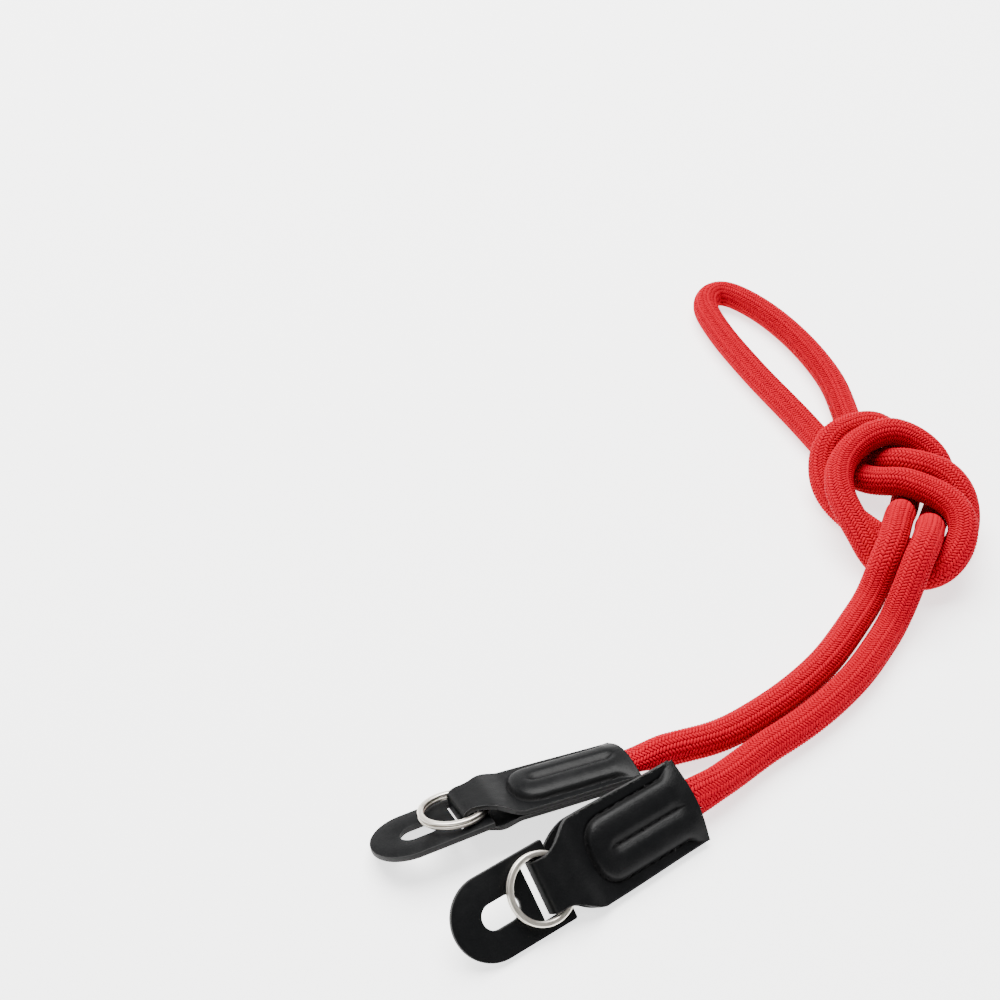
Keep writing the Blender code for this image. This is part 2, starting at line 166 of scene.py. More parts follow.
# the split ring
RING_DIAMETER = 18.0 * MM
COIL_GAP = 0.1 * MM  # between its two turns
RING_ROOM = 5.0 * MM  # from where the layers part to the ring
RING_START = math.radians(170)  # where the wire's first end lies
RING_STEPS = 220
JOG = math.radians(30)  # the stretch in which the wire goes from one turn to the other
WIRE_END_GAP = math.radians(8)  # how much it lacks of two full turns
WIRE_SIDES = 16
WIRE_SQUARENESS = 4
SHARP = math.radians(50)  # edges sharper than this aren't smoothed over

# the camera and the lights
CAMERA_PLACE = (-10.0 * MM, -238.0 * MM, 333.0 * MM)
CAMERA_TILT = math.radians(48.0)
CAMERA_LENS = 57.6
CAMERA_SENSOR = 36.0
CLIP_START = 10.0 * MM
FLOOR_HALF = 20.0
LIGHT_AIM = Vector((0.05, 0.1, 0.0))  # where both lights point
KEY_PLACE = (-0.15, 0.82, 1.50)
KEY_SIZE = 1.7
KEY_COLOUR = (1.0, 0.995, 0.985)
FILL_PLACE = (-0.9, -0.2, 0.7)
FILL_SIZE = 0.9
FILL_COLOUR = (0.985, 0.99, 1.0)

# colours that the panel doesn't list
LIT_YARN = (0.48, 0.0, 0.016)
WORN_LEATHER = (0.0095, 0.0097, 0.0101)
# painted shade: near black in the line pressed round the bump and in the middle seam's slit
PRESSED_LINE_SHADE = (0.0008, 0.0008, 0.0008)
THREAD = (0.0015, 0.0015, 0.0018)
RUBBED_THREAD = (0.006, 0.006, 0.0065)
DULL_PLATING = (0.66, 0.61, 0.53)

# The leather's gloss: a weak mirror at a slant, raised by its tint where it is seen straight on.
LEATHER_MIRROR = 0.004
LEATHER_GLOSS = (30.0, 30.0, 30.0)

# inputs and output of a Mix node set to colours
MIX_FIRST = 6
MIX_SECOND = 7
MIX_RESULT = 2

# How each leather end lies: the middle of its mouth, its heading, tilt and roll, its protector's droop and
# shift to the side, and how far the protector's bar lies inside the crease and the ring's middle beyond it.
ENDS = {
    "front": {
        "x": 37.4 * MM, "y": 10.3 * MM, "z": 8.1 * MM, "heading": -144.6, "tilt": 1.0, "roll": -40.0,
        "droop": 1.5, "shift": 0.3 * MM, "bar": 0.75 * MM, "ring": 1.15 * MM,
    },
    "rear": {
        "x": 22.25 * MM, "y": 23.3 * MM, "z": 6.5 * MM, "heading": -159.3, "tilt": 1.6, "roll": 25.9,
        "droop": 6.0, "shift": 0.0, "bar": 2.0 * MM, "ring": 1.7 * MM,
    },
}

# along the cover
FOLD_START = CREASE + min(end["ring"] for end in ENDS.values()) - RING_DIAMETER / 2 - RING_ROOM
BUMP_LENGTH = FOLD_START - BOND
GROOVE_END = BUMP_LENGTH - GROOVE_TO_NOSE

# the cord's thickness where the middle seam pinches it
SQUEEZED = 2 * (BUMP_HEIGHT - GROOVE_DEPTH - FIT) / CORD_DIAMETER

# the cord's route in millimetres, from the rear leather end to the front one
ROUTE = (
    (35, 28.5, 6), (48, 34, 4.5), (64, 44.5, 4.5), (78.5, 58, 4.5), (89, 73, 4.5), (96.5, 85, 5.5),
    (102, 94.5, 13), (106, 103, 14), (110, 114, 9.5), (114, 126, 4.5), (118, 140, 4.5), (114.5, 150.5, 8.5),
    (105, 151.5, 13.5), (93, 145, 13), (90, 134, 7), (96, 119.5, 4.5), (107.5, 106.5, 4.5), (118, 101, 4.5),
    (126.5, 107.5, 4.5), (129, 117, 9), (124, 128.5, 14), (114, 133.5, 13.5), (107, 144, 6),
    (103.5, 160, 4.5), (100.5, 187, 4.5), (90.5, 213.5, 4.5), (78, 231.5, 4.5), (68, 238, 4.5),
    (63, 231, 4.5), (65.5, 216.5, 4.5), (75, 192, 4.5), (87, 166.5, 4.5), (97.5, 143, 4.5), (104, 131.5, 9),
    (113, 123.5, 13.5), (123, 114.5, 15), (124.5, 101, 13.5), (116, 91, 8.5), (105, 95, 6),
    (96, 107.5, 10.5), (92, 122, 13.5), (95.5, 134.5, 15), (105, 142.5, 17), (117.5, 143.5, 15),
    (126, 135.5, 8), (124.5, 124, 4.5), (119, 114, 6), (115, 102.5, 13.5), (110, 91, 17), (105.5, 82, 11),
    (100.5, 74, 5), (89, 57.5, 4.5), (73.5, 41, 4.5), (58, 28.5, 4.5), (46.5, 18, 6),
)


class CordSettings(bpy.types.PropertyGroup):
    diameter: FloatProperty(
        name="Diameter", description="Thickness of the cord over its braid", default=CORD_DIAMETER,
        subtype="DISTANCE",
    )
    columns: IntProperty(
        name="Columns", description="Columns of strands round the cord, an even number", default=18, min=8
    )
    pitch: FloatProperty(
        name="Pitch", description="Distance between strands along a column", default=0.96 * MM,
        subtype="DISTANCE",
    )
    slant: FloatProperty(
        name="Slant", description="Angle of a strand to the cord", default=math.radians(60), subtype="ANGLE"
    )
    strand_width: FloatProperty(
        name="Strand Width", description="Width of one strand", default=0.98 * MM, subtype="DISTANCE"
    )
    strand_height: FloatProperty(
        name="Strand Height", description="Thickness of one strand", default=0.80 * MM, subtype="DISTANCE"
    )
    colour: FloatVectorProperty(
        name="Colour", description="Colour of the yarn", default=(0.41, 0.0, 0.013), subtype="COLOR"
    )
    # The shade colour is mostly painted shade: it darkens the strands' lower sides and the core between them.
    # It also darkens the filaments' streaks.
    shade: FloatVectorProperty(
        name="Shade", description="Colour of the yarn deep in the braid", default=(0.30, 0.0, 0.008),
        subtype="COLOR",
    )


class LeatherSettings(bpy.types.PropertyGroup):
    thickness: FloatProperty(
        name="Thickness", description="Thickness of the cover's leather", default=1.2 * MM, subtype="DISTANCE"
    )
    cover_width: FloatProperty(
        name="Cover Width", description="Greatest width of a cover", default=23.2 * MM, subtype="DISTANCE"
    )
    colour: FloatVectorProperty(
        name="Colour", description="Colour of the dyed grain side", default=(0.0042, 0.0044, 0.0047),
        subtype="COLOR",
    )
    edge_colour: FloatVectorProperty(
        name="Edge Colour", description="Colour of the cut edges", default=(0.012, 0.0115, 0.011),
        subtype="COLOR",
    )
    grain: FloatProperty(
        name="Grain", description="Size of the leather's pebbles", default=0.35 * MM, subtype="DISTANCE"
    )
    stitch_length: FloatProperty(
        name="Stitch Length", description="Distance from stitch to stitch", default=3.1 * MM,
        subtype="DISTANCE",
    )
    thread: FloatProperty(
        name="Thread", description="Thickness of the thread", default=0.5 * MM, subtype="DISTANCE"
    )


class RingSettings(bpy.types.PropertyGroup):
    diameter: FloatProperty(
        name="Diameter", description="Outer diameter of a split ring", default=RING_DIAMETER,
        subtype="DISTANCE",
    )
    wire_width: FloatProperty(
        name="Wire Width", description="Width of the wire across the ring", default=1.5 * MM,
        subtype="DISTANCE",
    )
    wire_height: FloatProperty(
        name="Wire Height", description="Thickness of one turn of wire", default=0.92 * MM,
        subtype="DISTANCE",
    )
    colour: FloatVectorProperty(
        name="Colour", description="Colour of the plating", default=(0.78, 0.74, 0.67), subtype="COLOR"
    )


class StageSettings(bpy.types.PropertyGroup):
    floor_colour: FloatVectorProperty(
        name="Floor Colour", description="Colour of the paper floor", default=(0.90, 0.90, 0.90),
        subtype="COLOR",
    )
    glow: FloatProperty(name="Glow", description="Light that the paper floor gives off", default=1.9)
    key: FloatProperty(name="Key", description="Strength of the main soft light, in watts", default=130.0)
    fill: FloatProperty(name="Fill", description="Strength of the fill light, in watts", default=3.0)
    sky: FloatProperty(name="Sky", description="Strength of the light from all round", default=0.28)


# materials


class Shade:
    """One socket of a material, on which sums are written as in ordinary Python."""

    def __init__(self, nodes, socket):
        self.nodes = nodes
        self.socket = socket

    def worked_out(self, operation, *values):
        return self.nodes.node("ShaderNodeMath", {"operation": operation}, dict(enumerate(values)))

    def __add__(self, other):
        return self.worked_out("ADD", self, other)

    def __radd__(self, other):
        return self.worked_out("ADD", other, self)

    def __mul__(self, other):
        return self.worked_out("MULTIPLY", self, other)

    def __rmul__(self, other):
        return self.worked_out("MULTIPLY", other, self)


class Nodes:
    """A new material and its nodes."""

    def __init__(self, name):
        self.material = bpy.data.materials.new(name)
        self.material.use_nodes = True
        self.tree = self.material.node_tree
        self.shader = self.tree.nodes["Principled BSDF"]

    def node(self, kind, settings=None, values=None, output=0):
        made = self.tree.nodes.new(kind)
        for name, value in (settings or {}).items():
            setattr(made, name, value)
        for name, value in (values or {}).items():
            self.feed(made.inputs[name], value)
        return Shade(self, made.outputs[output])

    def feed(self, socket, value):
        if isinstance(value, Shade):
            self.tree.links.new(value.socket, socket)
        elif socket.type == "RGBA":
            socket.default_value = (*value, 1.0)
        else:
            socket.default_value = value

    def set(self, **values):
        """Feeds the shader's own sockets, named with underscores for blanks, and gives the material."""
        for name, value in values.items():
            self.feed(self.shader.inputs[name.replace("_", " ")], value)
        return self.material

    def place(self):
        return self.node("ShaderNodeTexCoord", output="Object")

    def attribute(self, name):
        return self.node("ShaderNodeAttribute", {"attribute_name": name}, output="Fac")

    def noise(self, where, scale, detail, roughness=0.5):
        values = {"Vector": where, "Scale": scale, "Detail": detail, "Roughness": roughness}
        return self.node("ShaderNodeTexNoise", None, values, output="Fac")

    def blend(self, share, first, second):
        values = {"Factor": share, MIX_FIRST: first, MIX_SECOND: second}
        return self.node("ShaderNodeMix", {"data_type": "RGBA"}, values, MIX_RESULT)

    def spread(self, value, low, high, to_low=0.0, to_high=1.0):
        """The value's range from low to high, stretched over another one."""
        values = {"Value": value, "From Min": low, "From Max": high, "To Min": to_low, "To Max": to_high}
        return self.node("ShaderNodeMapRange", None, values)

    def bump(self, height, strength, distance):
        values = {"Height": height, "Strength": strength, "Distance": distance}
        return self.node("ShaderNodeBump", None, values)


def yarn_material(cord):
    """Matt nylon yarn: fine filaments along each strand and uneven in colour, with painted shade darkening each
    strand's lower side, deep in the braid.
    """
    nodes = Nodes("yarn")
    tint = nodes.attribute("tint")
    depth = nodes.attribute("depth")
    where = nodes.node("ShaderNodeUVMap", {"uv_map": "strand"})
    stretched = nodes.node("ShaderNodeMapping", None, {"Vector": where, "Scale": (0.35, 1.0, 1.0)})
    filaments = nodes.noise(stretched, scale=7.0, detail=2.0, roughness=0.6)
    lit = nodes.blend(nodes.spread(tint, 0.0, 1.0, 0.0, 0.55), cord.colour, LIT_YARN)
    streaked = nodes.blend(nodes.spread(filaments, 0.35, 0.7, 0.22, 0.0), lit, cord.shade)
    return nodes.set(
        # Painted shade: each strand's colour runs towards the shade colour on its lower side, deep in the
        # braid.
        Base_Color=nodes.blend(nodes.spread(depth, 0.2, 0.75, 0.6, 0.0), streaked, cord.shade),
        Roughness=nodes.spread(filaments, 0.3, 0.7, 0.62, 0.50),
        Specular_IOR_Level=0.015,
        Normal=nodes.bump(filaments, strength=0.5, distance=0.08 * MM),
    )


def core_material(cord):
    """The yarn that shows between the strands, speckled between the yarn's colour and its shade colour: partly
    painted shade between the strands.
    """
    nodes = Nodes("core_yarn")
    speckle = nodes.noise(nodes.place(), scale=900.0, detail=2.0)
    return nodes.set(
        Base_Color=nodes.blend(nodes.spread(speckle, 0.3, 0.7), cord.shade, cord.colour),
        Roughness=0.8,
        Specular_IOR_Level=0.0,
    )


def leather_material(leather):
    """Dyed smooth leather: a fine pebble, soft creases, faint scuffs, and painted shade, near black, in the
    line pressed round the bump and in the middle seam's slit.
    """
    nodes = Nodes("dyed_leather")
    where = nodes.place()
    size = {"Vector": where, "Scale": 1.0 / leather.grain}
    pebbles = nodes.node("ShaderNodeTexVoronoi", {"feature": "F1"}, size)
    creases = nodes.noise(where, scale=420.0, detail=6.0, roughness=0.62)
    scuffs = nodes.noise(where, scale=95.0, detail=5.0, roughness=0.6)
    worn = nodes.spread(scuffs, 0.52, 0.80, 0.0, 0.6)
    relief = pebbles * 0.45 + creases * 1.1
    pressed = nodes.attribute("pressed")
    grain = nodes.blend(worn, leather.colour, WORN_LEATHER)
    return nodes.set(
        # Painted shade: the colour goes near black where the leather is pressed in, in the line round the bump
        # and in the seam's slit.
        Base_Color=nodes.blend(pressed, grain, PRESSED_LINE_SHADE),
        Roughness=nodes.spread(creases + scuffs * 0.6 + pressed, 0.5, 1.6, 0.27, 0.62),
        Specular_IOR_Level=LEATHER_MIRROR,
        Specular_Tint=LEATHER_GLOSS,
        Normal=nodes.bump(relief, strength=0.45, distance=0.14 * MM),
    )


def cut_edge_material(leather):
    """A cut edge of leather: fibrous, greyer than the dyed side."""
    nodes = Nodes("cut_edge")
    fibres = nodes.noise(nodes.place(), scale=1500.0, detail=5.0, roughness=0.7)
    return nodes.set(
        Base_Color=nodes.blend(nodes.spread(fibres, 0.3, 0.75), leather.colour, leather.edge_colour),
        Roughness=0.75,
        Normal=nodes.bump(fibres, strength=0.5, distance=0.1 * MM),
    )


def thread_material():
    """Waxed black thread with its plies."""
    nodes = Nodes("waxed_thread")
    plies = nodes.noise(nodes.place(), scale=2600.0, detail=3.0)
    return nodes.set(
        Base_Color=nodes.blend(nodes.spread(plies, 0.3, 0.7), THREAD, RUBBED_THREAD),
        Roughness=0.45,
        Specular_IOR_Level=0.15,
        Normal=nodes.bump(plies, strength=0.4, distance=0.06 * MM),
    )


def nickel_material(ring):
    """Bright nickel plate with faint handling marks."""
    nodes = Nodes("nickel_plate")
    where = nodes.place()
    marks = nodes.noise(where, scale=520.0, detail=5.0, roughness=0.65)
    dull = nodes.noise(where, scale=90.0, detail=3.0)
    return nodes.set(
        Base_Color=nodes.blend(nodes.spread(dull, 0.35, 0.7), ring.colour, DULL_PLATING),
        Metallic=1.0,
        Roughness=nodes.spread(marks, 0.3, 0.75, 0.30, 0.46),
        Normal=nodes.bump(marks, strength=0.12, distance=0.05 * MM),
    )


def paper_material(stage):
    """A sheet of white paper that glows a little, as on a light table."""
    return Nodes("paper_floor").set(
        Base_Color=stage.floor_colour,
        Roughness=0.9,
        Specular_IOR_Level=0.1,
        Emission_Color=(1.0, 1.0, 1.0),
        Emission_Strength=stage.glow,
    )


# the cord's line, worked out as in the part's source


def smoothstep(value):
    value = np.clip(value, 0.0, 1.0)
    return value * value * (3.0 - 2.0 * value)


def resampled(line, step):
    """The same line with its points a step apart."""
    along = np.r_[0.0, np.cumsum(np.linalg.norm(np.diff(line, axis=0), axis=1))]
    places = np.linspace(0.0, along[-1], int(round(along[-1] / step)) + 1)
    return np.stack([np.interp(places, along, line[:, axis]) for axis in range(3)], axis=1)


def smooth_line(points, step):
    """A smooth curve through the points, as a line with its points a step apart."""
    ends_added = np.vstack([2 * points[0] - points[1], points, 2 * points[-1] - points[-2]])
    found = []
    for a, b, c, d in zip(ends_added[:-3], ends_added[1:-2], ends_added[2:-1], ends_added[3:]):
        t1 = math.sqrt(np.linalg.norm(b - a))
        t2 = t1 + math.sqrt(np.linalg.norm(c - b))
        t3 = t2 + math.sqrt(np.linalg.norm(d - c))
        for t in np.linspace(t1, t2, SMOOTH_STEPS, endpoint=False):
            ab = a + (b - a) * t / t1
            bc = b + (c - b) * (t - t1) / (t2 - t1)
            cd = c + (d - c) * (t - t2) / (t3 - t2)
            abc = ab + (bc - ab) * t / t2
            bcd = bc + (cd - bc) * (t - t1) / (t3 - t1)
            found.append(abc + (bcd - abc) * (t - t1) / (t2 - t1))
    return resampled(np.array(found + [points[-1]]), step)


def settled(line, diameter, gap):
    """The line with its passes eased apart until none lies nearer another than a diameter and the gap."""
    step = np.linalg.norm(np.diff(line, axis=0), axis=1).mean()
    first, second = np.triu_indices(len(line), k=math.ceil(SAME_PASS * diameter / step))
    floor = diameter / 2
    now = line.copy()
    for _ in range(ROUNDS):
        rounder = (4 * (now[1:-3] + now[3:-1]) - (now[:-4] + now[4:])) / 6
        now[2:-2] += ROUNDING * (rounder - now[2:-2])
        now += PULL_BACK * (line - now) * np.array([1.0, 1.0, PULL_BACK_UP])
        for _ in range(PUSHES):
            apart = now[second] - now[first]
            distance = np.linalg.norm(apart, axis=1)
            near = distance < diameter + gap
            push = apart[near] * ((diameter + gap - distance[near]) / distance[near] * PUSH)[:, None]
            moved = np.zeros_like(now)
            count = np.zeros(len(now))
            np.add.at(moved, first[near], -push)
            np.add.at(moved, second[near], push)
            np.add.at(count, first[near], 1)
            np.add.at(count, second[near], 1)
            now += moved / np.maximum(count, 1)[:, None]
            now[:, 2] = np.maximum(now[:, 2], floor)
            now[:3] = line[:3]
            now[-3:] = line[-3:]
    return resampled(now, step)


def end_matrix(end):
    """Where a leather end's own frame lies."""
    heading = Matrix.Rotation(math.radians(end["heading"]), 4, "Z")
    tilt = Matrix.Rotation(math.radians(-end["tilt"]), 4, "Y")
    roll = Matrix.Rotation(math.radians(end["roll"]), 4, "X")
    return Matrix.Translation((end["x"], end["y"], end["z"])) @ heading @ tilt @ roll


def mouth(name):
    """The middle of a cover's mouth, where the cord leaves it."""
    return np.array(end_matrix(ENDS[name]).translation)


def inner_end(name):
    """Where the cord ends inside a cover."""
    return np.array(end_matrix(ENDS[name]) @ Vector((GROOVE_END, 0.0, 0.0)))


def upright(name):
    """A leather end's direction up through its layers, in which its cover presses the cord flat."""
    return np.array(end_matrix(ENDS[name]).to_3x3() @ Vector((0.0, 0.0, 1.0)))


def line_length(line):
    return np.linalg.norm(np.diff(line, axis=0), axis=1).sum()


def carried_along(heading):
    """Directions across the line, carried along it without twisting."""
    side = np.cross(heading[0], (0.0, 0.0, 1.0))
    sides = []
    for direction in heading:
        side = side - direction * (side @ direction)
        side /= np.linalg.norm(side)
        sides.append(side)
    return np.array(sides)


class Spine:
    """The cord's line with directions across it."""

    def __init__(self, diameter):
        points = np.array([mouth("rear"), *(np.array(point) * MM for point in ROUTE), mouth("front")])
        free = settled(smooth_line(points, LINE_STEP), diameter, CORD_GAP)
        self.mouths = (GROOVE_END, GROOVE_END + line_length(free))
        rear = np.linspace(inner_end("rear"), mouth("rear"), INSIDE_POINTS, endpoint=False)
        front = np.linspace(mouth("front"), inner_end("front"), INSIDE_POINTS + 1)[1:]
        self.line = smooth_line(np.vstack([rear, free, front]), FINE_STEP)
        self.length = line_length(self.line)
        self.step = self.length / (len(self.line) - 1)
        heading = np.gradient(self.line, axis=0)
        heading /= np.linalg.norm(heading, axis=1)[:, None]
        self.side = carried_along(heading)
        self.up = np.cross(heading, self.side)

    def inside(self, along):
        """How far inside a cover each place lies, or less than nothing between the covers."""
        return np.maximum(self.mouths[0] - along, along - self.mouths[1])

    def share(self, along):
        """The cord's thickness as a share of its own: less to the mouths, and pinched inside the covers."""
        inside = self.inside(along)
        pinch = np.clip((inside - PINCH_START) / (LOBES_START - PINCH_START), 0.0, 1.0)
        pinched = MOUTH_PRESS + (SQUEEZED - MOUTH_PRESS) * pinch
        free = MOUTH_PRESS + (1.0 - MOUTH_PRESS) * smoothstep(-inside / TAPER)
        return np.where(inside > 0.0, pinched, free)

    def at(self, along, around, height):
        """Points at these places along the line, angles round it and heights, pressed flat at the ends."""
        place = np.clip(along / self.step, 0.0, len(self.line) - 1.001)
        before = place.astype(int)
        rest = (place - before)[:, None]

        def between(values):
            return values[before] * (1.0 - rest) + values[before + 1] * rest

        out = np.cos(around)[:, None] * between(self.side) + np.sin(around)[:, None] * between(self.up)
        pressing = np.where((along < self.length / 2)[:, None], upright("rear"), upright("front"))
        high = pressing * (out * pressing).sum(axis=1)[:, None]
        share = self.share(along)[:, None]
        out = (out - high) * (1.0 + MOUTH_WIDEN * (1.0 - share)) + high * share
        return between(self.line) + out * height[:, None]


def new_object(name, shape, materials):
    """Makes a finished piece of a bmesh, with its place in its mesh."""
    mesh = bpy.data.meshes.new(name)
    shape.to_mesh(mesh)
    shape.free()
    for material in materials:
        mesh.materials.append(material)
    piece = bpy.data.objects.new(name, mesh)
    bpy.context.scene.collection.objects.link(piece)
    mesh.shade_smooth()
    return piece


def make_core(spine, cord):
    """The smooth middle of the cord, on which the braid lies."""
    curve = bpy.data.curves.new("cord_core", "CURVE")
    curve.dimensions = "3D"
    curve.bevel_depth = cord.diameter / 2 - 0.5 * cord.strand_height
    curve.bevel_resolution = 6
    curve.use_fill_caps = True
    line = spine.line[::CORE_STRIDE]
    spline = curve.splines.new("POLY")
    spline.points.add(len(line) - 1)
    along = np.arange(len(line)) * CORE_STRIDE * spine.step
    for spot, place, share in zip(spline.points, line, spine.share(along)):
        spot.co = (*place, 1.0)
        spot.radius = share
    spline.use_smooth = True
    curve.materials.append(core_material(cord))
    core = bpy.data.objects.new("cord_core", curve)
    bpy.context.scene.collection.objects.link(core)
    return core


def strand_shape(cord):
    """One strand's visible stretch, along X with its middle at z = 0: its corners and faces."""
    width = math.pi * cord.diameter / cord.columns
    length = width / math.sin(cord.slant) + STRAND_OVERLAP
    shape = bmesh.new()
    bmesh.ops.create_uvsphere(shape, u_segments=6, v_segments=3, radius=0.5)
    turn = Matrix.Rotation(math.pi / 2, 4, "Y")
    bmesh.ops.transform(shape, matrix=turn, verts=shape.verts)
    bmesh.ops.scale(shape, vec=(length, cord.strand_width, cord.strand_height), verts=shape.verts)
    # Laid round the cord the shape is mirrored, so its faces are turned here to point outwards there.
    bmesh.ops.reverse_faces(shape, faces=shape.faces)
    shape.verts.ensure_lookup_table()
    verts = np.array([vert.co for vert in shape.verts])
    faces = [np.array([vert.index for vert in face.verts]) for face in shape.faces]
    shape.free()
    return verts, faces


def joined_copies(name, points, count, faces):
    """A mesh of copies of one shape of so many corners, whose points are given copy after copy."""
    copies = len(points) // count
    offsets = np.arange(copies) * count
    loops = (offsets[:, None] + np.concatenate(faces)[None]).ravel()
    sizes = np.tile([len(face) for face in faces], copies)
    starts = np.concatenate([[0], np.cumsum(sizes)[:-1]])
    mesh = bpy.data.meshes.new(name)
    mesh.vertices.add(len(points))
    mesh.vertices.foreach_set("co", points.ravel())
    mesh.loops.add(len(loops))
    mesh.loops.foreach_set("vertex_index", loops.astype(np.int32))
    mesh.polygons.add(len(starts))
    mesh.polygons.foreach_set("loop_start", starts.astype(np.int32))
    mesh.update(calc_edges=True)
    mesh.shade_smooth()
    return mesh, loops


def strand_points(spine, cord, verts, row, column, start, wander):
    """Where the corners of each strand go: the columns lean by turns to one side and the other."""
    lean = np.where(column % 2 == 0, 1.0, -1.0)[:, None]
    along = start + (row + 0.5 * (column % 2)) * cord.pitch
    around = 2 * math.pi * column / cord.columns
    run = verts[None, :, 0]
    side = verts[None, :, 1]
    cos = math.cos(cord.slant)
    sin = math.sin(cord.slant)
    middle = cord.diameter / 2 - cord.strand_height / 2
    places = along[:, None] + run * cos - lean * side * sin + wander[0][:, None]
    angles = around[:, None] + (lean * run * sin + side * cos + wander[1][:, None]) / middle
    heights = middle + np.broadcast_to(verts[None, :, 2], places.shape)
    return spine.at(places.ravel(), angles.ravel(), heights.ravel())


def make_braid(spine, cord):
    """The braid's strands, as joined copies of one shape, wrapped round the cord in leaning columns."""
    verts, faces = strand_shape(cord)
    chance = np.random.default_rng(7)
    material = yarn_material(cord)
    start = spine.mouths[0] - BRAID_HIDDEN
    rows = int((spine.mouths[1] + BRAID_HIDDEN - start) / cord.pitch)
    count = len(verts)
    made = []
    for number, part in enumerate(np.array_split(np.arange(rows), BRAID_PIECES)):
        row, column = (grid.ravel() for grid in np.meshgrid(part, np.arange(cord.columns), indexing="ij"))
        tint = np.clip(chance.normal(0.5, 0.2, len(row)), 0.0, 1.0)
        wander = chance.normal(0.0, STRAND_WANDER, (2, len(row)))
        points = strand_points(spine, cord, verts, row, column, start, wander)
        mesh, loops = joined_copies(f"braid_{number + 1}", points, count, faces)
        add_attribute(mesh, "tint", np.repeat(tint, count))
        # How low on its strand each corner lies, by which the yarn's material paints shade deep in the braid.
        add_attribute(mesh, "depth", np.tile(verts[:, 2] / cord.strand_height + 0.5, len(row)))
        uv = np.tile(verts[:, :2], (len(row), 1)) / MM
        uv += np.repeat(chance.uniform(0, 50, (len(row), 2)), count, axis=0)
        layer = mesh.uv_layers.new(name="strand")
        layer.uv.foreach_set("vector", uv[loops].ravel().astype(np.float32))
        mesh.materials.append(material)
        piece = bpy.data.objects.new(mesh.name, mesh)
        bpy.context.scene.collection.objects.link(piece)
        made.append(piece)
    return made


def add_attribute(mesh, name, values):
    attribute = mesh.attributes.new(name, "FLOAT", "POINT")
    attribute.data.foreach_set("value", values.astype(np.float32))


# the leather


def above_or_below(side, above, below):
    """The value for the upper layer of the fold (side 1) or for the lower one (side -1)."""
    return above if side > 0 else below


def cover_half_width(x, leather):
    body = MOUTH_WIDTH + (leather.cover_width - MOUTH_WIDTH) * smoothstep(x / BUMP_LENGTH)
    return (body + (NECK_WIDTH - body) * smoothstep((x - FOLD_START) / FLARE_LENGTH)) / 2


def fold_opening(x, side):
    """From the middle to a layer's inside, beyond the bump: the upper one rises softer than in the part."""
    soft = above_or_below(side, FOLD_SOFT, 0.0)
    rise = smoothstep((x - FOLD_START + soft) / (FOLD_RISE + 4 / 3 * soft))
    return above_or_below(side, FOLD_ABOVE, FOLD_BELOW) * rise


def bump_reach(x, y):
    """How far out a place lies on the bump, as a share of the way to its border. The mouth's is wider."""
    ahead = max(0.0, x - (BUMP_LENGTH - BUMP_NOSE)) / BUMP_NOSE
    width = BUMP_WIDTH + MOUTH_SPREAD * (1.0 - smoothstep(x / SPREAD_END))
    return ((2 * abs(y) / width) ** BUMP_SQUARENESS + ahead**BUMP_SQUARENESS) ** (1 / BUMP_SQUARENESS)


def bump_share(x, y):
    """The bump's height as a share of its crown: a tent over the cord at the mouth, two full lobes behind."""
    out = bump_reach(x, y)
    if out >= 1.0:
        return 0.0
    fullness = smoothstep(x / LOBES_START)
    inner, outer = (tent + (lobes - tent) * fullness for tent, lobes in zip(TENT, LOBES))
    return (1.0 - out**inner) ** outer


def seam_share(x):
    """Whether the middle seam runs at this place along the cover, as a share."""
    begun = smoothstep((x - GROOVE_START + SEAM_RUN_OUT) / (2 * SEAM_RUN_OUT))
    return begun * smoothstep((GROOVE_END + SEAM_RUN_OUT - x) / (2 * SEAM_RUN_OUT))


def seam_slit(x, y):
    """The narrow slit that the middle seam's thread pulls into the leather, as a share of its depth."""
    return seam_share(x) * math.exp(-((y / SEAM_SLIT_WIDTH) ** 2))


def groove(x, y):
    """The depth of the middle seam's groove: a wide dip with the narrow slit in it."""
    dip = GROOVE_DEPTH * math.exp(-((2 * y / GROOVE_WIDTH) ** 2))
    return seam_share(x) * dip + SEAM_SLIT_DEPTH * seam_slit(x, y)


def pressed_share(x, y):
    """The line pressed into the leather round the bump, as a share of its depth."""
    out = (bump_reach(x, y) - 1.0) * BUMP_WIDTH / 2
    return math.exp(-((out / PRESSED_LINE) ** 2)) * smoothstep((x - PRESSED_START) / PRESSED_RUN_IN)


def crown(x):
    """The hollow's height over the cord's line, from the pressed cord at the mouth to the bump behind."""
    at_mouth = MOUTH_PRESS * CORD_DIAMETER / 2 + FIT
    behind = min(1.0, max(0.0, (x - PINCH_START) / (LOBES_START - PINCH_START)))
    return at_mouth + (BUMP_HEIGHT - at_mouth) * behind


def cover_surface(x, y, side, leather):
    """From the middle of the cover to its outside, above (side 1) or below (side -1), short of the crease."""
    share = bump_share(x, y)
    if side > 0:
        height = max(0.0, crown(x) * share - groove(x, y) * min(1.0, 2 * share))
    else:
        height = crown(x) * share * (1.0 - (1.0 - BELLY) * smoothstep(x / LOBES_START))
    return leather.thickness + height + fold_opening(x, side) - PRESSED_LINE * pressed_share(x, y)


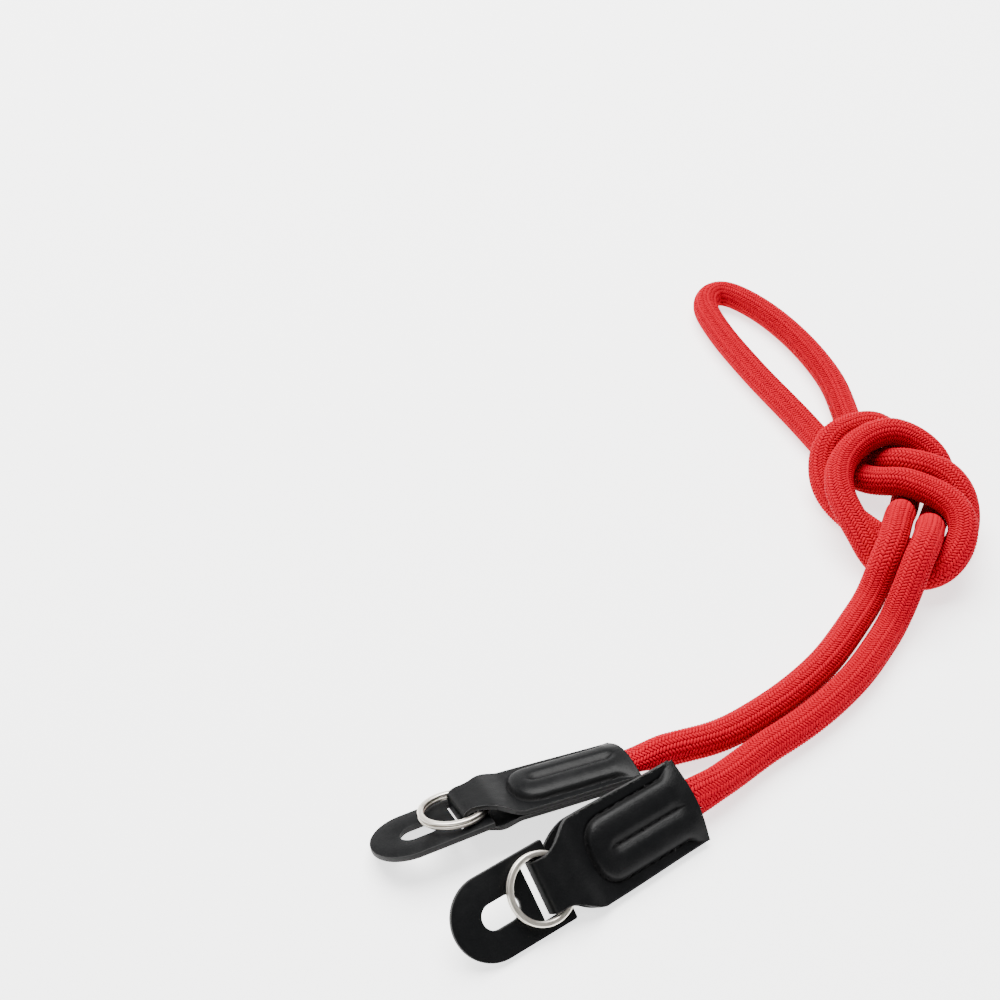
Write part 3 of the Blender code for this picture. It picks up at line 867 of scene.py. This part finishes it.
def strip_point(row, across, leather):
    """A point of the folded strip's outside: row 0 is the upper layer's end, 1 the crease, 2 the lower's."""
    from_crease = row - 1.0
    side = -math.copysign(1.0, from_crease)
    start = CREASE - above_or_below(side, NOSE_ABOVE, NOSE_BELOW)
    if abs(from_crease) < CREASE_SHARE:
        angle = math.pi / 2 * abs(from_crease) / CREASE_SHARE
        power = 2 / above_or_below(side, SQUARENESS_ABOVE, SQUARENESS_BELOW)
        height = leather.thickness + above_or_below(side, FOLD_ABOVE, FOLD_BELOW)
        x = start + (CREASE + leather.thickness - start) * math.cos(angle) ** power
        return x, across * cover_half_width(x, leather), side * height * math.sin(angle) ** power
    x = start * (1.0 - (abs(from_crease) - CREASE_SHARE) / (1.0 - CREASE_SHARE))
    y = across * cover_half_width(x, leather)
    return x, y, side * cover_surface(x, y, side, leather)


def is_cut_edge(face, leather):
    """Whether a face lies on a side edge or at the mouth."""
    at_mouth = all(vert.co.x < CUT_EDGE for vert in face.verts)
    limit = [cover_half_width(vert.co.x, leather) - CUT_EDGE for vert in face.verts]
    return at_mouth or all(abs(vert.co.y) > edge for vert, edge in zip(face.verts, limit))


def round_rims(shape, offset, segments):
    """Bevels the edges where the grain side meets a cut edge."""
    rims = [edge for edge in shape.edges if len({face.material_index for face in edge.link_faces}) == 2]
    bmesh.ops.bevel(
        shape, geom=rims, offset=offset, segments=segments, profile=0.5, affect="EDGES", material=-1
    )


def make_cover(name, materials, leather):
    """The cover: one strip of leather folded over at the neck, its two layers a hair apart."""
    shape = bmesh.new()
    bmesh.ops.create_grid(shape, x_segments=COVER_ROWS, y_segments=COVER_COLUMNS, size=1.0)
    # How far each place is pressed in, round the bump or in the seam's slit: the leather's material paints
    # shade there and roughens it.
    pressed = shape.verts.layers.float.new("pressed")
    for vert in shape.verts:
        across = math.sin(vert.co.y * COLUMN_CROWDING) / math.sin(COLUMN_CROWDING)
        vert.co = strip_point(vert.co.x + 1.0, across, leather)
        x, y, _ = vert.co
        vert[pressed] = min(1.0, max(pressed_share(x, y), seam_slit(x, y)))
    bmesh.ops.recalc_face_normals(shape, faces=shape.faces)
    upwards = sum(face.normal.z for face in shape.faces if face.calc_center_median().z > 0)
    if upwards < 0:
        bmesh.ops.reverse_faces(shape, faces=shape.faces)
    bmesh.ops.solidify(shape, geom=shape.faces, thickness=leather.thickness - HAIR)
    for face in shape.faces:
        face.material_index = 1 if is_cut_edge(face, leather) else 0
    round_rims(shape, COVER_ROUNDING, 2)
    return finished_leather(name + "_leather_cover", shape, name, materials)


def finished_leather(label, shape, name, materials, place=Matrix.Identity(4)):
    """A piece of a leather end with its faces outwards, moved from the end's own frame to where it lies."""
    bmesh.ops.recalc_face_normals(shape, faces=shape.faces)
    if shape.calc_volume(signed=True) < 0:
        bmesh.ops.reverse_faces(shape, faces=shape.faces)
    bmesh.ops.transform(shape, matrix=end_matrix(ENDS[name]) @ place, verts=shape.verts)
    return new_object(label, shape, materials)


def bar_level():
    """The height of the middle of the protector's bar, which lies on the lower layer."""
    return -FOLD_BELOW + BAR_ROOM + PROTECTOR_THICKNESS / 2


def ring_level(ring):
    """The height of the ring's middle: it lies on the bar."""
    return bar_level() + PROTECTOR_THICKNESS / 2 + FIT + ring.wire_height + COIL_GAP / 2


def protector_place(end):
    """The protector's place in the leather end's frame, turned down about its bar by the droop."""
    bar = Matrix.Translation((CREASE - end["bar"] - BAR_WIDTH / 2, end["shift"], bar_level()))
    droop = Matrix.Rotation(math.radians(end["droop"]), 4, "Y")
    return bar @ droop @ Matrix.Translation((-BAR_WIDTH / 2, 0, 0))


def add_outline(shape, points):
    """A closed outline of edges through the points."""
    verts = [shape.verts.new((x, y, 0.0)) for x, y in points]
    return [shape.edges.new((a, b)) for a, b in zip(verts, verts[1:] + verts[:1])]


def arc(x, y, radius, start, end, count):
    """Points of an arc about a place, from one angle to another in degrees."""
    angles = [math.radians(start + (end - start) * index / count) for index in range(count + 1)]
    return [(x + radius * math.cos(angle), y + radius * math.sin(angle)) for angle in angles]


def make_protector(name, materials):
    """The protector: a tongue of leather with a slit for the neck and a slot, its edges a little rounded."""
    shape = bmesh.new()
    half = PROTECTOR_WIDTH / 2
    corner = PROTECTOR_CORNER
    tip = arc(PROTECTOR_LENGTH - half, 0, half, -90, 90, 56)
    back = arc(corner, half - corner, corner, 90, 180, 4) + arc(corner, corner - half, corner, 180, 270, 4)
    edges = add_outline(shape, tip + back)
    slit_half = NECK_WIDTH / 2 + SLIT_MARGIN
    low = BAR_WIDTH
    high = BAR_WIDTH + SLIT_WIDTH
    edges += add_outline(shape, [(low, -slit_half), (high, -slit_half), (high, slit_half), (low, slit_half)])
    middle = PROTECTOR_LENGTH - SLOT_TO_TIP - SLOT_LENGTH / 2
    reach = (SLOT_LENGTH - SLOT_WIDTH) / 2
    far = arc(middle + reach, 0, SLOT_WIDTH / 2, -90, 90, 24)
    near = arc(middle - reach, 0, SLOT_WIDTH / 2, 90, 270, 24)
    edges += add_outline(shape, far + near)
    bmesh.ops.triangle_fill(shape, edges=edges, use_beauty=True)
    grown = bmesh.ops.extrude_face_region(shape, geom=shape.faces[:])
    lifted = [part for part in grown["geom"] if isinstance(part, bmesh.types.BMVert)]
    bmesh.ops.translate(shape, verts=lifted, vec=(0, 0, PROTECTOR_THICKNESS))
    bmesh.ops.translate(shape, verts=shape.verts, vec=(0, 0, -PROTECTOR_THICKNESS / 2))
    bmesh.ops.recalc_face_normals(shape, faces=shape.faces)
    for face in shape.faces:
        face.material_index = 1 if abs(face.normal.z) < 0.5 else 0
    round_rims(shape, PROTECTOR_ROUNDING, 3)
    place = protector_place(ENDS[name])
    piece = finished_leather(name + "_leather_protector", shape, name, materials, place)
    piece.data.set_sharp_from_angle(angle=SHARP)
    return piece


def make_ring(name, materials, ring):
    """The split ring: two turns of flat wire side by side, with a jog from one to the other."""
    shape = bmesh.new()
    radius = (ring.diameter - ring.wire_width) / 2
    pitch = ring.wire_height + COIL_GAP
    made = bmesh.ops.create_circle(shape, cap_ends=True, segments=WIRE_SIDES, radius=0.5)
    for vert in shape.verts:
        squared = sum(abs(2 * part) ** WIRE_SQUARENESS for part in vert.co.xy) ** (1 / WIRE_SQUARENESS)
        wide, high = vert.co.xy / squared
        vert.co = (wide * ring.wire_width + radius, 0.0, high * ring.wire_height)
    profile = shape.faces[:] + shape.edges[:] + made["verts"]
    total = 4 * math.pi - WIRE_END_GAP
    # The spin lifts each step a little, which tells below how far round it lies.
    bmesh.ops.spin(
        shape, geom=profile, cent=(0, 0, 0), axis=(0, 0, 1), dvec=(0, 0, 1.0 / RING_STEPS),
        angle=total, steps=RING_STEPS,
    )
    for vert in shape.verts:
        turned = round(vert.co.z * RING_STEPS) / RING_STEPS
        rise = smoothstep((total * turned - 2 * math.pi + JOG / 2) / JOG) - 0.5
        vert.co.z += rise * pitch - turned
    bmesh.ops.rotate(shape, verts=shape.verts, cent=(0, 0, 0), matrix=Matrix.Rotation(RING_START, 3, "Z"))
    place = Matrix.Translation((CREASE + ENDS[name]["ring"], 0, ring_level(ring)))
    piece = finished_leather(name + "_split_ring", shape, name, materials, place)
    piece.data.set_sharp_from_angle(angle=SHARP)
    return piece


def add_stitch(shape, place, length, width, turn):
    """One stitch: a short stretch of thread that dives in at both ends."""
    made = bmesh.ops.create_uvsphere(shape, u_segments=10, v_segments=8, radius=0.5)
    lie = Matrix.Translation(place) @ Matrix.Rotation(turn, 4, "Z") @ Matrix.Rotation(math.pi / 2, 4, "Y")
    size = Matrix.Diagonal((width, width, length, 1.0))
    bmesh.ops.transform(shape, matrix=lie @ size, verts=made["verts"])


def make_stitches(name, material, leather):
    """The threads of the seams beside the bump, above and below, and of the seam in its middle."""
    shape = bmesh.new()
    pitch = leather.stitch_length
    count = int((GROOVE_END - GROOVE_START - SEAM_SPARE) / pitch) + 1
    for y, side in ((SIDE_SEAM, 1), (-SIDE_SEAM, 1), (0.0, 1), (SIDE_SEAM, -1), (-SIDE_SEAM, -1)):
        for index in range(count):
            x = GROOVE_START + FIRST_STITCH + (index + 0.5) * pitch
            z = side * (cover_surface(x, y, side, leather) - STITCH_SINK)
            add_stitch(shape, (x, y, z), pitch * STITCH_SHARE, leather.thread, STITCH_LEAN)
    for x, y, length in CROSS_STITCHES:
        z = cover_surface(x, y, 1, leather) + CROSS_RISE
        add_stitch(shape, (x, y, z), length, leather.thread * CROSS_THICKNESS, CROSS_LEAN)
    return finished_leather(name + "_stitches", shape, name, [material])


# the operators


class STRAP_OT_cord(bpy.types.Operator):
    """Makes the braided cord along its real route"""

    bl_idname = "strap.cord"
    bl_label = "Cord"

    def execute(self, context):
        cord = context.scene.strap_cord
        spine = Spine(cord.diameter)
        core = make_core(spine, cord)
        braid = make_braid(spine, cord)
        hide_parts("cord")
        for piece in (core, *braid):
            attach(piece, "root")
        return {"FINISHED"}


class STRAP_OT_leather(bpy.types.Operator):
    """Makes the leather covers and protectors"""

    bl_idname = "strap.leather"
    bl_label = "Leather"

    def execute(self, context):
        leather = context.scene.strap_leather
        materials = [leather_material(leather), cut_edge_material(leather)]
        for name in ENDS:
            cover = make_cover(name, materials, leather)
            protector = make_protector(name, materials)
            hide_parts(name + "_cover")
            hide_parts(name + "_protector")
            for piece in (cover, protector):
                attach(piece, "root")
        return {"FINISHED"}


class STRAP_OT_stitches(bpy.types.Operator):
    """Sews the covers' seams"""

    bl_idname = "strap.stitches"
    bl_label = "Stitches"

    def execute(self, context):
        leather = context.scene.strap_leather
        material = thread_material()
        for name in ENDS:
            stitches = make_stitches(name, material, leather)
            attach(stitches, "root")
        return {"FINISHED"}


class STRAP_OT_rings(bpy.types.Operator):
    """Makes the split rings"""

    bl_idname = "strap.rings"
    bl_label = "Rings"

    def execute(self, context):
        ring = context.scene.strap_ring
        material = nickel_material(ring)
        for name in ENDS:
            piece = make_ring(name, [material], ring)
            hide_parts(name + "_ring")
            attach(piece, "root")
        return {"FINISHED"}


class STRAP_OT_stage(bpy.types.Operator):
    """Sets up the camera, the pale floor and the soft lights"""

    bl_idname = "strap.stage"
    bl_label = "Stage"

    def execute(self, context):
        stage = context.scene.strap_stage
        add_camera(context)
        add_floor(stage)
        add_lights(context, stage)
        return {"FINISHED"}


def add_camera(context):
    data = bpy.data.cameras.new("camera")
    data.lens = CAMERA_LENS
    data.sensor_width = CAMERA_SENSOR
    data.clip_start = CLIP_START
    camera = bpy.data.objects.new("camera", data)
    camera.location = CAMERA_PLACE
    camera.rotation_euler = (CAMERA_TILT, 0.0, 0.0)
    context.scene.collection.objects.link(camera)
    context.scene.camera = camera


def add_floor(stage):
    shape = bmesh.new()
    bmesh.ops.create_grid(shape, x_segments=2, y_segments=2, size=FLOOR_HALF)
    floor = new_object("floor", shape, [paper_material(stage)])


def add_light(context, name, place, size, strength, colour):
    data = bpy.data.lights.new(name, "AREA")
    data.shape = "SQUARE"
    data.size = size
    data.energy = strength
    data.color = colour
    light = bpy.data.objects.new(name, data)
    light.location = place
    light.rotation_euler = (LIGHT_AIM - Vector(place)).to_track_quat("-Z", "Y").to_euler()
    context.scene.collection.objects.link(light)


def add_lights(context, stage):
    add_light(context, "key", KEY_PLACE, KEY_SIZE, stage.key, KEY_COLOUR)
    add_light(context, "fill", FILL_PLACE, FILL_SIZE, stage.fill, FILL_COLOUR)
    world = bpy.data.worlds.new("studio")
    world.use_nodes = True
    background = world.node_tree.nodes["Background"]
    background.inputs["Color"].default_value = (1.0, 1.0, 1.0, 1.0)
    background.inputs["Strength"].default_value = stage.sky
    context.scene.world = world


class STRAP_PT_pieces(bpy.types.Panel):
    """Lists the strap's pieces and their sizes"""

    bl_idname = "STRAP_PT_pieces"
    bl_label = "Neck Strap"
    bl_space_type = "VIEW_3D"
    bl_region_type = "UI"
    bl_category = "Neck Strap"

    def draw(self, context):
        for operator, settings in GROUPS:
            box = self.layout.box()
            box.operator(operator)
            group = getattr(context.scene, settings)
            for name in group.__annotations__:
                box.prop(group, name)


GROUPS = (
    ("strap.stage", "strap_stage"),
    ("strap.cord", "strap_cord"),
    ("strap.leather", "strap_leather"),
    ("strap.stitches", "strap_leather"),
    ("strap.rings", "strap_ring"),
)

SETTINGS = {
    "strap_cord": CordSettings,
    "strap_leather": LeatherSettings,
    "strap_ring": RingSettings,
    "strap_stage": StageSettings,
}

CLASSES = (
    *SETTINGS.values(),
    STRAP_OT_cord,
    STRAP_OT_leather,
    STRAP_OT_stitches,
    STRAP_OT_rings,
    STRAP_OT_stage,
    STRAP_PT_pieces,
)


def register():
    for added in CLASSES:
        bpy.utils.register_class(added)
    for name, settings in SETTINGS.items():
        setattr(bpy.types.Scene, name, PointerProperty(type=settings))


def unregister():
    for name in SETTINGS:
        delattr(bpy.types.Scene, name)
    for added in reversed(CLASSES):
        bpy.utils.unregister_class(added)


def main():
    register()
    bpy.ops.strap.stage()
    bpy.ops.strap.cord()
    bpy.ops.strap.leather()
    bpy.ops.strap.stitches()
    bpy.ops.strap.rings()


if __name__ == "__main__":
    main()
